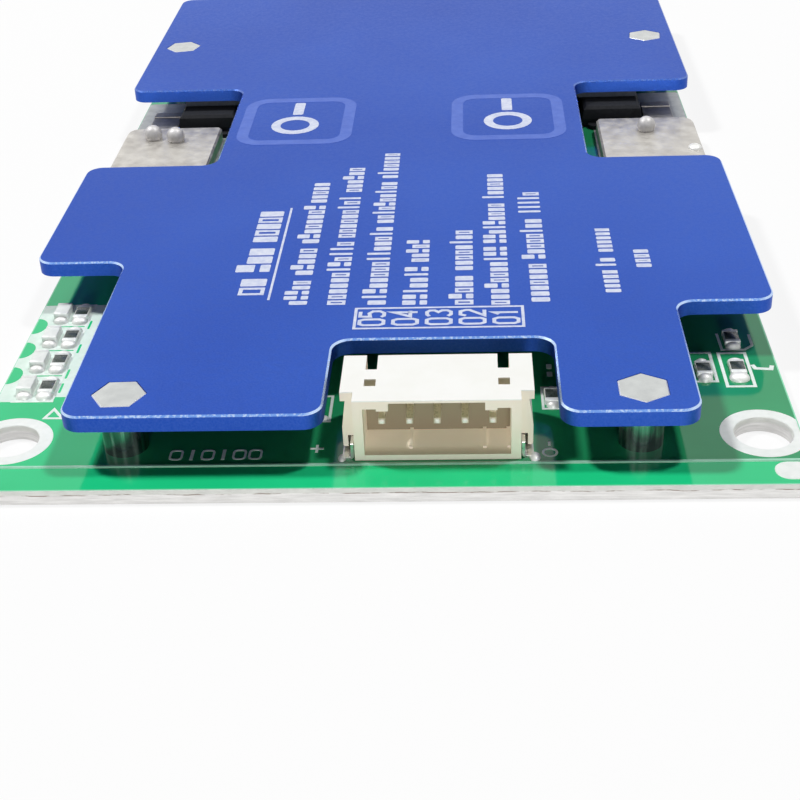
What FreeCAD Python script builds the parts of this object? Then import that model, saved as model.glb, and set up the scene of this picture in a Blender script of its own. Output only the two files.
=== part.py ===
"""Battery management board, in millimetres.

An aluminium-based printed board carries a flat heat plate on four clinched standoffs, a five-way
side-entry header, two power terminal bars and the electronic parts. X runs across the board, Y from
the header's end to the far end and Z upwards; the origin is the middle of the board's underside.
"""
import math
import os

import FreeCAD
import Part

# Printed board
board_length = 108.0
board_width = 61.5
board_thickness = 1.2
board_corner_radius = 1.0
mount_hole_diameter = 4.3
mount_hole_from_side = 2.75
mount_hole_from_front = 6.5

# Heat plate
plate_gap = 3.25
plate_thickness = 1.3
plate_front_margin = 2.6
plate_rear_margin = 2.6
plate_side_margin = 0.05
plate_corner_radius = 1.5
plate_bevel = 0.14
shoulder_depth = 7.9
left_shoulder_from_front = 27.5
right_shoulder_from_front = 18.85

# Clinched standoffs and the screws that hold them from below
hex_across_flats = 3.56
hex_head_height = 0.9
hex_head_chamfer = 0.1
barrel_diameter = 3.3
barrel_bore_depth = 2.6
front_standoff_from_leg_side = 3.9
front_standoff_from_front = 5.7
rear_standoff_from_side = 3.3
rear_standoff_before_row = 4.25
clinch_clearance = 0.02
screw_diameter = 2.0
screw_head_diameter = 3.7
screw_reach = 2.2
screw_sink = 0.06
screw_clearance = 0.1
thread_clearance = 0.02
recess_width = 0.36
recess_span = 1.9
recess_depth = 0.55

# Side-entry header
header_x = 4.2
header_from_front = 3.4
header_depth = 6.47
header_height = 5.1
pin_count = 5
pin_pitch = 2.0
header_end = 2.95
header_core_inset = 0.95
header_wall = 0.72
header_floor = 0.5
header_roof = 0.7
lug_drop = 0.18
lug_width = 0.86
lug_depth = 0.5
corner_block_width = 1.84
latch_roof = 0.24
latch_depth = 1.5
cavity_depth = 3.4
ear_setback = 1.25
ear_thickness = 0.75
arm_recess = 0.35
arm_swell = 0.05
arm_wall = 0.42
arm_lift = 0.5
tab_slot_height = 1.45
roof_slot_width = 0.84
roof_slot_inset = 1.7
rear_notch_depth = 2.07
window_length = 0.95
window_from_front = 2.05
rib_width = 0.26
rib_height = 0.16
rib_setback = 0.85
pin_width = 0.5
pin_height = 2.7
pin_setback = 0.97
pin_tip_chamfer = 0.13
pin_drop_gap = 0.3
pin_foot_length = 1.5
pin_bend_radius = 0.45
pin_clearance = 0.02
tab_thickness = 0.25
tab_length = 4.4
tab_setback = 0.15
tab_foot = 0.75
tab_clearance = 0.05

# Space that the plate leaves round the header
slot_clear_left = 1.15
slot_clear_right = 1.8
slot_clear_rear = 3.5

# Power terminals and the space that the plate leaves round them
terminal_from_middle = 5.5
terminal_length = 15.0
terminal_reach = 10.3
terminal_thickness = 1.5
terminal_edge_margin = 0.05
terminal_chamfer = 0.2
terminal_outer_corner = 1.4
terminal_inner_corner = 0.6
notch_clear_ends = 3.3
notch_clear_inner = 2.25
dot_radius = 0.82
dot_height = 1.45

# Power transistors, their heat pads and the current shunts
transistors_per_row = 6
row_clear_standoff = 0.3
transistor_width = 6.5
transistor_length = 6.1
transistor_height = 2.3
transistor_parting = 0.95
transistor_draft = 0.16
transistor_edge = 0.3
drain_width = 5.2
drain_thickness = 0.5
drain_reach = 0.9
lead_width = 0.76
lead_thickness = 0.5
lead_spacing = 4.56
lead_reach = 2.6
lead_stub = 0.7
drain_corner = 0.5
row_clear_terminal = 0.3
row_gap = 12.6
pad_overhang = 0.4
pad_clearance = 0.02
pad_front_inset = 1.0
shunt_width = 3.2
shunt_length = 6.3
shunt_height = 0.8
shunt_cap_length = 1.3
shunt_cap_rise = 0.12
shunt_clear = 0.35

# Protection chip
chip_x = 4.2
chip_from_front = 33.0
chip_length = 9.9
chip_width = 3.9
chip_height = 1.5
chip_standoff = 0.1
chip_lead_count = 8
chip_lead_pitch = 1.27
chip_lead_width = 0.4
chip_lead_thickness = 0.22
chip_lead_reach = 1.05

# Chip resistors and capacitors
small_length = 2.0
small_width = 1.25
resistor_height = 0.5
capacitor_height = 0.8
cap_length = 0.36
cap_rise = 0.03
cell_rows = 4
cell_row_pitch = 4.12
cell_first_from_front = 13.95
cell_resistor_from_side = 3.8
cell_partner_from_side = 2.15

V = FreeCAD.Vector
front = -board_length / 2
rear = board_length / 2
side = board_width / 2
deck = board_thickness
plate_bottom = deck + plate_gap
plate_top = plate_bottom + plate_thickness


def rounded_wire(corners):
    """Closed outline in the XY plane of corners (x, y, radius); a short side limits its arcs."""
    ends = []
    for i, (x, y, radius) in enumerate(corners):
        here = V(x, y, 0)
        to_last = (V(corners[i - 1][0], corners[i - 1][1], 0) - here).normalize()
        following = corners[(i + 1) % len(corners)]
        to_next = (V(following[0], following[1], 0) - here).normalize()
        half = to_last.getAngle(to_next) / 2
        if radius < 1e-6 or abs(half - math.pi / 2) < 1e-6:
            ends.append((here, None, here))
            continue
        shorter = min((V(c[0], c[1], 0) - here).Length for c in (corners[i - 1], following))
        reach = min(radius / math.tan(half), 0.49 * shorter)
        radius = reach * math.tan(half)
        middle = here + (to_last + to_next).normalize() * (radius / math.sin(half) - radius)
        ends.append((here + to_last * reach, middle, here + to_next * reach))
    edges = []
    for i, (start, middle, end) in enumerate(ends):
        if middle is not None:
            edges.append(Part.Arc(start, middle, end).toShape())
        following = ends[(i + 1) % len(ends)][0]
        if (following - end).Length > 1e-6:
            edges.append(Part.makeLine(end, following))
    return Part.Wire(edges)


def prism(corners, low, high):
    """Upright solid on a rounded outline."""
    face = Part.Face(rounded_wire(corners))
    face.translate(V(0, 0, low))
    return face.extrude(V(0, 0, high - low))


def block(x0, x1, y0, y1, z0, z1):
    """Plain rectangular solid between two corners."""
    return Part.makeBox(x1 - x0, y1 - y0, z1 - z0, V(x0, y0, z0))


def across_x(corners, x0, x1):
    """Solid with a side-view outline of (y, z, radius), drawn out along X."""
    shape = prism(corners, 0, x1 - x0)
    shape.rotate(V(0, 0, 0), V(1, 1, 1), 120)
    shape.translate(V(x0, 0, 0))
    return shape


def along_y(corners, y0, y1):
    """Solid with a front-view outline of (x, z, radius), drawn out along Y."""
    shape = prism([(x, z, radius) for x, z, radius in corners], 0, y1 - y0)
    shape.rotate(V(0, 0, 0), V(1, 0, 0), 90)
    shape.translate(V(0, y1, 0))
    return shape


def strip_outline(points, thickness, radius):
    """Outline of a bent strip about its centre line, with concentric inner and outer bends."""
    half = thickness / 2
    left, right = [], []
    for i, (a, b) in enumerate(points):
        here = V(a, b, 0)
        if i == 0:
            before = after = (V(points[1][0], points[1][1], 0) - here).normalize()
        elif i == len(points) - 1:
            before = after = (here - V(points[i - 1][0], points[i - 1][1], 0)).normalize()
        else:
            before = (here - V(points[i - 1][0], points[i - 1][1], 0)).normalize()
            after = (V(points[i + 1][0], points[i + 1][1], 0) - here).normalize()
        normal_a, normal_b = V(-before.y, before.x, 0), V(-after.y, after.x, 0)
        mitre = (normal_a + normal_b) * (half / (1 + normal_a.dot(normal_b)))
        turn = before.x * after.y - before.y * after.x
        bend = 0 if abs(turn) < 1e-9 else radius
        inner = max(bend - half, 0.0)
        outer = bend + half if bend else 0.0
        left.append((here.x + mitre.x, here.y + mitre.y, inner if turn > 0 else outer))
        right.append((here.x - mitre.x, here.y - mitre.y, outer if turn > 0 else inner))
    return left + right[::-1]


def revolved(profile):
    """Solid of revolution about Z from a profile of (radius, z)."""
    wire = Part.makePolygon([V(r, 0, z) for r, z in profile + profile[:1]])
    return Part.Face(wire).revolve(V(0, 0, 0), V(0, 0, 1), 360)


def level_edges(shape, level):
    """Edges of a solid that lie wholly at one height."""
    return [e for e in shape.Edges if all(abs(v.Z - level) < 1e-6 for v in e.Vertexes)]


def fused(shapes):
    """One clean solid from pieces that meet."""
    return shapes[0].fuse(shapes[1:]).removeSplitter() if len(shapes) > 1 else shapes[0]


def moved(shape, x=0.0, y=0.0, z=0.0, turn=0.0):
    """Copy of a solid, turned about Z and then set in place."""
    copy = shape.copy()
    copy.rotate(V(0, 0, 0), V(0, 0, 1), turn)
    copy.translate(V(x, y, z))
    return copy


# Places shared by several pieces
header_width = (pin_count - 1) * pin_pitch + 2 * header_end
header_left = header_x - header_width / 2
header_right = header_x + header_width / 2
header_front = front + header_from_front
header_rear = header_front + header_depth
terminal_outer = side - terminal_edge_margin
terminal_inner = terminal_outer - terminal_reach
terminal_y = terminal_from_middle
terminal_rear = terminal_y + terminal_length / 2
front_row = terminal_rear + row_clear_terminal + drain_reach + transistor_length / 2
rear_row = front_row + transistor_length + row_gap
leg_side = side - shoulder_depth
front_standoff_x, rear_standoff_x = leg_side - front_standoff_from_leg_side, side - rear_standoff_from_side
front_standoff_y, rear_standoff_y = front + front_standoff_from_front, rear_row - rear_standoff_before_row
standoffs = {
    "front_left": (-front_standoff_x, front_standoff_y, 2.0),
    "front_right": (front_standoff_x, front_standoff_y, 30.0),
    "rear_left": (-rear_standoff_x, rear_standoff_y, 12.0),
    "rear_right": (rear_standoff_x, rear_standoff_y, 24.0),
}
row_side = rear_standoff_x - barrel_diameter / 2 - row_clear_standoff
bore_radius = screw_diameter / 2 + thread_clearance
board_hole_radius = screw_diameter / 2 + screw_clearance
sink_radius = screw_head_diameter / 2 + screw_clearance
mount_x, mount_y = side - mount_hole_from_side, front + mount_hole_from_front


# Printed board with two mounting holes and four countersunk holes for the standoff screws
def base_board():
    r = board_corner_radius
    shape = prism([(-side, front, r), (side, front, r), (side, rear, r), (-side, rear, r)], 0, deck)
    cuts = [Part.makeCylinder(mount_hole_diameter / 2, deck, V(hand * mount_x, mount_y, 0))
            for hand in (-1, 1)]
    sink = revolved([(0, 0), (sink_radius, 0), (board_hole_radius, sink_radius - board_hole_radius),
                     (board_hole_radius, deck), (0, deck)])
    cuts += [moved(sink, x, y) for x, y, _ in standoffs.values()]
    return shape.cut(cuts)


# Heat plate: legs beside the header, wings, terminal notches and a full-width far end
def heat_plate():
    r = plate_corner_radius
    low = front + plate_front_margin
    high = rear - plate_rear_margin
    wing = side - plate_side_margin
    slot_left, slot_right = header_left - slot_clear_left, header_right + slot_clear_right
    slot_end = header_rear + slot_clear_rear
    notch = terminal_inner - notch_clear_inner
    notch_low = terminal_y - terminal_length / 2 - notch_clear_ends
    notch_high = terminal_rear + notch_clear_ends
    outline = [(-leg_side, low), (slot_left, low), (slot_left, slot_end), (slot_right, slot_end),
               (slot_right, low), (leg_side, low),
               (leg_side, front + right_shoulder_from_front),
               (wing, front + right_shoulder_from_front),
               (wing, notch_low), (notch, notch_low), (notch, notch_high), (wing, notch_high),
               (wing, high), (-wing, high),
               (-wing, notch_high), (-notch, notch_high), (-notch, notch_low), (-wing, notch_low),
               (-wing, front + left_shoulder_from_front),
               (-leg_side, front + left_shoulder_from_front)]
    shape = prism([(x, y, r) for x, y in outline], plate_bottom, plate_top)
    shape = shape.makeChamfer(plate_bevel, level_edges(shape, plate_top))
    cuts = []
    for x, y, turn in standoffs.values():
        head = hex_prism(hex_across_flats / 2 + clinch_clearance, hex_head_height, 0)
        cuts.append(moved(head, x, y, plate_top - hex_head_height, turn))
        cuts.append(Part.makeCylinder(barrel_diameter / 2 + clinch_clearance, plate_thickness,
                                      V(x, y, plate_bottom)))
    return shape.cut(cuts)


def hex_prism(inner_radius, height, chamfer):
    """Hexagonal head with its corners along X and a chamfered top."""
    outer = inner_radius / math.cos(math.pi / 6)
    corners = [(outer * math.cos(k * math.pi / 3), outer * math.sin(k * math.pi / 3), 0) for k in range(6)]
    shape = prism(corners, 0, height)
    return shape.makeChamfer(chamfer, level_edges(shape, height)) if chamfer else shape


# Blind standoff: hexagonal head flush in the plate, round barrel standing on the board
def standoff(x, y, turn):
    head = hex_prism(hex_across_flats / 2, hex_head_height, hex_head_chamfer)
    head = moved(head, x, y, plate_top - hex_head_height, turn)
    barrel = Part.makeCylinder(barrel_diameter / 2, plate_top - hex_head_height - deck, V(x, y, deck))
    bore = Part.makeCylinder(bore_radius, barrel_bore_depth, V(x, y, deck))
    return fused([head, barrel]).cut(bore)


# Countersunk screw from the board's underside, with a crossed recess
def board_screw(x, y):
    head, shank = screw_head_diameter / 2, screw_diameter / 2
    tip = deck + screw_reach
    shape = revolved([(0, screw_sink), (head, screw_sink), (shank, screw_sink + head - shank),
                      (shank, tip), (0, tip)])
    arm = block(-recess_span / 2, recess_span / 2, -recess_width / 2, recess_width / 2,
                0, screw_sink + recess_depth)
    return moved(shape.cut([arm, moved(arm, turn=90)]), x, y)


# Header housing: open-fronted core, roof with ears, swelling arms, notches, windows and ribs
def header_housing():
    top = deck + header_height
    core_left, core_right = header_left + header_core_inset, header_right - header_core_inset
    inner_left, inner_right = core_left + header_wall, core_right - header_wall
    ceiling = top - header_roof
    cavity_end = header_front + cavity_depth
    floor = deck + header_floor
    core = block(core_left, core_right, header_front, header_rear, deck, top)
    ears = block(header_left, header_right, header_front + ear_setback, header_rear, top - ear_thickness, top)
    pieces = [core, ears]
    for outer, inward in ((header_left, 1), (header_right, -1)):
        arm = [(outer + inward * arm_recess, top - ear_thickness, 0),
               (outer + inward * arm_swell, deck + header_height * 0.43, 0.4),
               (outer + inward * arm_swell, deck + arm_lift, 0.15),
               (outer + inward * arm_wall, deck + arm_lift, 0),
               (outer + inward * arm_wall, deck + tab_slot_height, 0),
               (outer + inward * header_core_inset, deck + tab_slot_height, 0),
               (outer + inward * header_core_inset, top - ear_thickness, 0)]
        pieces.append(along_y(arm, header_front + ear_setback, header_rear))
    shape = fused(pieces)
    cuts = [block(inner_left, inner_right, header_front, cavity_end, floor, ceiling),
            block(inner_left + corner_block_width, inner_right - corner_block_width,
                  header_front, header_front + latch_depth, ceiling, top - latch_roof)]
    for outer, inward in ((header_left, 1), (header_right, -1)):
        a = outer + inward * roof_slot_inset
        b = a + inward * roof_slot_width
        x0, x1 = min(a, b), max(a, b)
        cuts.append(block(x0, x1, header_rear - rear_notch_depth, header_rear, deck + 1.0, top))
        cuts.append(block(x0, x1, header_front + window_from_front,
                          header_front + window_from_front + window_length, ceiling, top))
    for k in range(pin_count):
        x = header_x + (k - (pin_count - 1) / 2) * pin_pitch
        half = pin_width / 2 + pin_clearance
        cuts.append(block(x - half, x + half, cavity_end, header_rear,
                          deck + pin_height - half, deck + pin_height + half))
    shape = shape.cut(cuts)
    extras = [block(x, x + rib_width, header_front + rib_setback, cavity_end, floor, floor + rib_height)
              for x in (inner_left + 1.6 * pin_pitch, inner_right - pin_pitch, inner_right - rib_width)]
    for x0, x1 in ((inner_left + corner_block_width - lug_width, inner_left + corner_block_width),
                   (inner_right - corner_block_width, inner_right - corner_block_width + lug_width)):
        extras.append(block(x0, x1, header_front, header_front + lug_depth, ceiling - lug_drop, ceiling))
    return fused([shape] + extras)


# Header pin: square wire with a chamfered tip, bent down behind the housing to a solder foot
def header_pin(k):
    x = header_x + (k - (pin_count - 1) / 2) * pin_pitch
    tip = header_front + pin_setback
    drop = header_rear + pin_drop_gap + pin_width / 2
    path = [(tip, deck + pin_height), (drop, deck + pin_height),
            (drop, deck + pin_width / 2), (drop + pin_foot_length, deck + pin_width / 2)]
    shape = across_x(strip_outline(path, pin_width, pin_bend_radius), x - pin_width / 2, x + pin_width / 2)
    edges = [e for e in shape.Edges if all(abs(v.Y - tip) < 1e-6 for v in e.Vertexes)]
    return shape.makeChamfer(pin_tip_chamfer, edges)


# Solder tab in the slot between the header's arm and its core, with its foot turned outwards
def header_tab(outer, inward):
    x = outer + inward * (header_core_inset - tab_clearance - tab_thickness / 2)
    path = [(x, deck + tab_slot_height - tab_clearance), (x, deck + tab_thickness / 2),
            (x - inward * tab_foot, deck + tab_thickness / 2)]
    y0 = header_front + tab_setback
    return along_y(strip_outline(path, tab_thickness, tab_thickness), y0, y0 + tab_length)


# Power terminal bar at the board's edge
def terminal_bar(hand):
    inner, outer = hand * terminal_inner, hand * terminal_outer
    near = terminal_y - terminal_length / 2
    shape = prism([(inner, near, terminal_inner_corner), (outer, near, terminal_outer_corner),
                   (outer, terminal_rear, terminal_outer_corner),
                   (inner, terminal_rear, terminal_inner_corner)], deck, deck + terminal_thickness)
    return shape.makeChamfer(terminal_chamfer, level_edges(shape, deck + terminal_thickness))


# Ball of solder on a terminal bar, melted flat where it sits
def solder_dot(x, y):
    ball = (dot_radius ** 2 + dot_height ** 2) / (2 * dot_height)
    z = deck + terminal_thickness
    dome = Part.makeSphere(ball, V(x, y, z + dot_height - ball))
    return dome.common(Part.makeCylinder(dot_radius * 2, dot_height * 2, V(x, y, z)))


# Power transistor: drafted body, drain tab in front, two formed leads and a cut middle lead behind
def transistor_form():
    def ring(inset, z):
        x, y = transistor_width / 2 - inset, transistor_length / 2 - inset
        return rounded_wire([(-x, -y, 0), (x, -y, 0), (x, y, 0), (-x, y, 0)]).translated(V(0, 0, z))

    top = transistor_height
    rings = [ring(transistor_draft, 0), ring(0, transistor_parting),
             ring(transistor_draft, top - transistor_edge), ring(transistor_draft + transistor_edge, top)]
    body = Part.makeLoft(rings, True, True)
    half = transistor_length / 2
    tab_side, tab_end, cut = drain_width / 2, -half - drain_reach, drain_corner
    drain = prism([(-tab_side, tab_end + cut, 0), (-tab_side + cut, tab_end, 0), (tab_side - cut, tab_end, 0),
                   (tab_side, tab_end + cut, 0), (tab_side, 0, 0), (-tab_side, 0, 0)], 0, drain_thickness)
    level = transistor_parting
    path = [(0, level), (half + 0.75, level), (half + 1.15, lead_thickness / 2),
            (half + lead_reach, lead_thickness / 2)]
    leads = [across_x(strip_outline(path, lead_thickness, 0), x - lead_width / 2, x + lead_width / 2)
             for x in (-lead_spacing / 2, lead_spacing / 2)]
    stub = block(-lead_width / 2, lead_width / 2, 0, half + lead_stub,
                 level - lead_thickness / 2, level + lead_thickness / 2)
    return fused([body, drain, stub] + leads)


def capped_body(length, width, height, cap, rise):
    """Body along Y whose two ends stand a little proud above and below."""
    a, b = length / 2, length / 2 - cap
    side_view = [(-a, 0), (-b, 0), (-b, rise), (b, rise), (b, 0), (a, 0),
                 (a, height), (b, height), (b, height - rise), (-b, height - rise), (-b, height), (-a, height)]
    return across_x([(y, z, 0) for y, z in side_view], -width / 2, width / 2)


# Current shunt: flat metal strip with raised solder ends
def shunt_form():
    return capped_body(shunt_length, shunt_width, shunt_height, shunt_cap_length, shunt_cap_rise)


# Protection chip: moulded body with gull-wing leads along both long sides
def protection_chip():
    low, high = chip_standoff, chip_height
    middle = (low + high) / 2
    x, y = chip_length / 2, chip_width / 2
    rings = [rounded_wire([(-x + d, -y + d, 0), (x - d, -y + d, 0), (x - d, y - d, 0),
                           (-x + d, y - d, 0)]).translated(V(0, 0, z))
             for d, z in ((0.12, low), (0, middle), (0.12, high))]
    pieces = [Part.makeLoft(rings, True, True)]
    t = chip_lead_thickness
    path = [(y - 0.3, middle), (y + 0.35, middle), (y + 0.55, t / 2), (y + chip_lead_reach, t / 2)]
    lead = across_x(strip_outline(path, t, 0), -chip_lead_width / 2, chip_lead_width / 2)
    for k in range(chip_lead_count):
        place = (k - (chip_lead_count - 1) / 2) * chip_lead_pitch
        pieces += [moved(lead, place), moved(lead, place, turn=180)]
    return moved(fused(pieces), chip_x, front + chip_from_front, deck)


# Chip resistor or capacitor: ceramic body with slightly thicker metal ends, length along Y
def small_chip(height):
    return capped_body(small_length, small_width, height, cap_length, cap_rise)


parts = {"base_board": base_board(), "heat_plate": heat_plate()}
for name, (x, y, turn) in standoffs.items():
    parts["standoff_" + name] = standoff(x, y, turn)
    parts["board_screw_" + name] = board_screw(x, y)

parts["header_housing"] = header_housing()
for k in range(pin_count):
    parts["header_pin_%d" % (k + 1)] = header_pin(k)
parts["header_tab_left"] = header_tab(header_left, 1)
parts["header_tab_right"] = header_tab(header_right, -1)

parts["terminal_bar_left"] = terminal_bar(-1)
parts["terminal_bar_right"] = terminal_bar(1)
for name, hand, inwards, from_rear in (("left_1", -1, 3.25, 3.05), ("left_2", -1, 5.8, 3.75),
                                       ("right", 1, 5.3, 3.6)):
    parts["terminal_dot_" + name] = solder_dot(hand * (terminal_outer - inwards), terminal_rear - from_rear)

# Two rows of transistors with their drain tabs facing away from each other
form = transistor_form()
outermost = row_side - transistor_width / 2
for k in range(transistors_per_row):
    x = outermost * (2 * k / (transistors_per_row - 1) - 1)
    parts["discharge_transistor_%d" % (k + 1)] = moved(form, x, front_row, deck)
    parts["charge_transistor_%d" % (k + 1)] = moved(form, x, rear_row, deck, 180)

# Heat pads fill the space between the transistors and the plate
pad_half = row_side - pad_overhang
pad_low, pad_high = deck + transistor_height, plate_bottom - pad_clearance
pad_edge = terminal_rear + notch_clear_ends + pad_front_inset
pad_reach = transistor_length / 2 - pad_overhang
parts["heat_pad_front"] = block(-pad_half, pad_half, pad_edge, front_row + pad_reach, pad_low, pad_high)
parts["heat_pad_rear"] = block(-pad_half, pad_half, rear_row - pad_reach, rear_row + pad_reach,
                               pad_low, pad_high)

shunt_x = row_side + shunt_clear + shunt_width / 2
shunt_y = terminal_rear + row_clear_terminal + shunt_length / 2
shunt = shunt_form()
parts["shunt_left"] = moved(shunt, -shunt_x, shunt_y, deck)
parts["shunt_right"] = moved(shunt, shunt_x, shunt_y, deck)

parts["protection_chip"] = protection_chip()
resistor, capacitor = small_chip(resistor_height), small_chip(capacitor_height)
chip_y = front + chip_from_front
for k, x in enumerate((-4.2, 4.2)):
    parts["supply_capacitor_%d" % (k + 1)] = moved(capacitor, chip_x + x, chip_y - 5.2, deck)

# Cell balancing pairs, in rows along the board's left edge
for k in range(cell_rows):
    y = front + cell_first_from_front + k * cell_row_pitch
    parts["cell_resistor_%d" % (k + 1)] = moved(resistor, cell_resistor_from_side - side, y, deck)
    parts["cell_capacitor_%d" % (k + 1)] = moved(capacitor, cell_partner_from_side - side, y, deck)

# Single chips beside the header and in the front right corner
for name, kind, x, y in (("corner_resistor_1", resistor, side - 3.25, 15.55),
                         ("corner_resistor_2", resistor, side - 5.9, 15.4),
                         ("corner_resistor_3", resistor, side - 3.0, 20.35),
                         ("header_resistor", resistor, header_right + 1.7, 11.7),
                         ("header_capacitor", capacitor, header_left - 2.85, 10.5)):
    parts[name] = moved(kind, x, front + y, deck)

os.makedirs("parts", exist_ok=True)
for name, shape in parts.items():
    shape.exportStep("parts/%s.step" % name)
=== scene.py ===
"""Looks of the battery management board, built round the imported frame, in metres.

X runs across the board, Y from the header's end to the far end and Z upwards. Sizes below are in
millimetres where they are written, and turned into metres by the one factor MM.
"""

import math
import random

import bmesh
import bpy
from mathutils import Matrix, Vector, noise


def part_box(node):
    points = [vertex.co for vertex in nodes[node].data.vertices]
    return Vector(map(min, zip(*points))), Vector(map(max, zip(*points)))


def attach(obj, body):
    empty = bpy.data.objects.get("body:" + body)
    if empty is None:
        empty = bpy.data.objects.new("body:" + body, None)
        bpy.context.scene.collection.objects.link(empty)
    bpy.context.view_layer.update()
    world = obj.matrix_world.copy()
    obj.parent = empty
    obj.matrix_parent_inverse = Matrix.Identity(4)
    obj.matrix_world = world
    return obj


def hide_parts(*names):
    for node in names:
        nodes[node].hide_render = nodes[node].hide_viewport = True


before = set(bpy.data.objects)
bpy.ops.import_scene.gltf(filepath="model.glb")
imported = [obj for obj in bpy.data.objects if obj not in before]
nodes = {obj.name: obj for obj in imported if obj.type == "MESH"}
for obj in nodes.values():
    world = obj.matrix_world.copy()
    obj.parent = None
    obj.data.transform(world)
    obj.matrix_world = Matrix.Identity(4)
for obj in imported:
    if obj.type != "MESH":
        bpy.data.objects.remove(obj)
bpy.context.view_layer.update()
scene = bpy.context.scene
scene.view_settings.view_transform = "Standard"

MM = 0.001
BODY = "root"


# Places read from the frame
def span(node):
    """Lowest and highest corner of a node, in millimetres."""
    low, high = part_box(node)
    return low / MM, high / MM


board_low, board_high = span("base_board")
plate_low, plate_high = span("heat_plate")
header_low, header_high = span("header_housing")
FRONT, REAR = board_low.y, board_high.y
SIDE = board_high.x
DECK = board_high.z
ROOF = plate_high.z

# Middle of the right mounting hole, and the place left of which the mask on the copper is as
# bright as the mask on the bare board
MOUNT_X, MOUNT_Y = 28.0, FRONT + 6.5
COPPER_LEFT = -21.2

# Tops of the thin layers on the board, and the range of its white drawing
COPPER_TOP, LAND_TOP, PAD_TOP = DECK + 0.045, DECK + 0.055, DECK + 0.06
INK_LOW, INK_TOP = DECK + 0.04, DECK + 0.07
PAD_SIDE = SIDE - 0.08


# Camera and light
def make_camera():
    data = bpy.data.cameras.new("camera")
    data.sensor_width, data.lens = 36.0, 64.98124
    data.shift_x, data.shift_y = 0.001546, 0.007388
    data.clip_start, data.clip_end = 0.01, 20.0
    camera = bpy.data.objects.new("camera", data)
    camera.location = Vector((6.9029, -137.0433, 59.6934)) * MM
    camera.rotation_euler = [math.radians(a) for a in (58.11477, 2.17994, 2.19108)]
    scene.collection.objects.link(camera)
    scene.camera = camera


def make_lamp(name, place, size, level):
    """Soft lamp aimed at the origin; level is the brightness that it alone gives a white surface
    facing it."""
    data = bpy.data.lights.new(name, "AREA")
    data.shape, data.size = "DISK", size
    lamp = bpy.data.objects.new(name, data)
    lamp.location = place
    away = -Vector(place)
    lamp.rotation_euler = away.to_track_quat("-Z", "Y").to_euler()
    data.energy = level * math.pi ** 2 * away.length_squared
    scene.collection.objects.link(lamp)


def seen_by(tree, *rays):
    """Node value of 1 for the named kinds of ray and 0 for the others."""
    path = tree.nodes.new("ShaderNodeLightPath")
    seen = path.outputs[rays[0]]
    for ray in rays[1:]:
        either = tree.nodes.new("ShaderNodeMath")
        either.operation = "MAXIMUM"
        tree.links.new(seen, either.inputs[0])
        tree.links.new(path.outputs[ray], either.inputs[1])
        seen = either.outputs[0]
    return seen


def make_world(ambient, seen):
    """Even pale surroundings: white to the camera and to gloss, and a softer fill for the rest."""
    world = bpy.data.worlds.new("surroundings")
    world.use_nodes = True
    scene.world = world
    tree = world.node_tree
    level = tree.nodes.new("ShaderNodeMapRange")
    level.inputs["To Min"].default_value = ambient
    level.inputs["To Max"].default_value = seen
    rays = seen_by(tree, "Is Camera Ray", "Is Glossy Ray", "Is Transmission Ray")
    tree.links.new(rays, level.inputs["Value"])
    sky = tree.nodes["Background"]
    sky.inputs["Color"].default_value = (1.0, 1.0, 1.0, 1.0)
    tree.links.new(level.outputs["Result"], sky.inputs["Strength"])


def make_floor(edge, glow_share):
    """Plain pale floor that shows white and keeps the object's shadow."""
    mesh = bpy.data.meshes.new("floor")
    mesh.from_pydata([(-edge, -edge, 0), (edge, -edge, 0), (edge, edge, 0), (-edge, edge, 0)],
                     [], [(0, 1, 2, 3)])
    floor = bpy.data.objects.new("floor", mesh)
    floor.location.z = -0.02 * MM
    scene.collection.objects.link(floor)
    material = bpy.data.materials.new("floor_white")
    material.use_nodes = True
    tree = material.node_tree
    tree.nodes.clear()
    plain = tree.nodes.new("ShaderNodeBsdfDiffuse")
    plain.inputs["Color"].default_value = (0.9, 0.9, 0.9, 1.0)
    glow = tree.nodes.new("ShaderNodeEmission")
    glow.inputs["Color"].default_value = (1.0, 1.0, 1.0, 1.0)
    share = tree.nodes.new("ShaderNodeMath")
    share.operation = "MULTIPLY"
    share.inputs[1].default_value = glow_share
    mix = tree.nodes.new("ShaderNodeMixShader")
    out = tree.nodes.new("ShaderNodeOutputMaterial")
    tree.links.new(seen_by(tree, "Is Camera Ray", "Is Glossy Ray"), share.inputs[0])
    tree.links.new(share.outputs[0], mix.inputs[0])
    tree.links.new(plain.outputs[0], mix.inputs[1])
    tree.links.new(glow.outputs[0], mix.inputs[2])
    tree.links.new(mix.outputs[0], out.inputs[0])
    mesh.materials.append(material)


# Materials
def linear(red, green, blue):
    """Linear colour from screen values 0 to 255."""
    def one(c):
        c /= 255
        return c / 12.92 if c <= 0.04045 else ((c + 0.055) / 1.055) ** 2.4
    return one(red), one(green), one(blue), 1.0


MASK_LOW, MASK_HIGH = linear(27, 198, 127), linear(34, 207, 135)


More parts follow.
